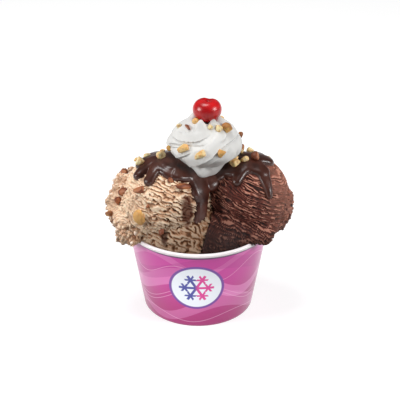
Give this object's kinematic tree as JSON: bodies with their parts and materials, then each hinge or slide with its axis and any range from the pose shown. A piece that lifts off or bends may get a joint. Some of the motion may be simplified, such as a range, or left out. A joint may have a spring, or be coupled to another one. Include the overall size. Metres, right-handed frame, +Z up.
{
  "type": "ice cream sundae",
  "caption": "Ice cream sundae in a paper cup: praline and chocolate scoops under hot fudge, whipped cream, chopped nuts and a cherry.",
  "frame": {"origin": "centre of the cup's foot on the table, under the middle of the bounding box", "axes": "+Z up along the cup's axis, the scoops side by side along X with the praline scoop at -X, the shown front faces -Y"},
  "size_m": [0.1275, 0.1, 0.1495],
  "materials": {
    "cup_wall": "thin film-coated paper, printed in magenta and pale pink outside, white rolled rim",
    "cup_base": "uncoated white paper disc",
    "praline_scoop": "frozen praline ice cream with torn, frosty ridges",
    "chocolate_scoop": "frozen chocolate ice cream with fine drag lines",
    "hot_fudge": "wet dark chocolate fudge, glossy",
    "whipped_cream": "soft white whipped cream with a satin surface",
    "cherry": "syrup-wet bright red skin"
  },
  "bodies": {
    "root": {"cup_wall": "cup_wall", "cup_base": "cup_base", "praline_scoop": "praline_scoop", "chocolate_scoop": "chocolate_scoop", "hot_fudge": "hot_fudge", "whipped_cream": "whipped_cream", "cherry": "cherry"}
  },
  "joints": []
}
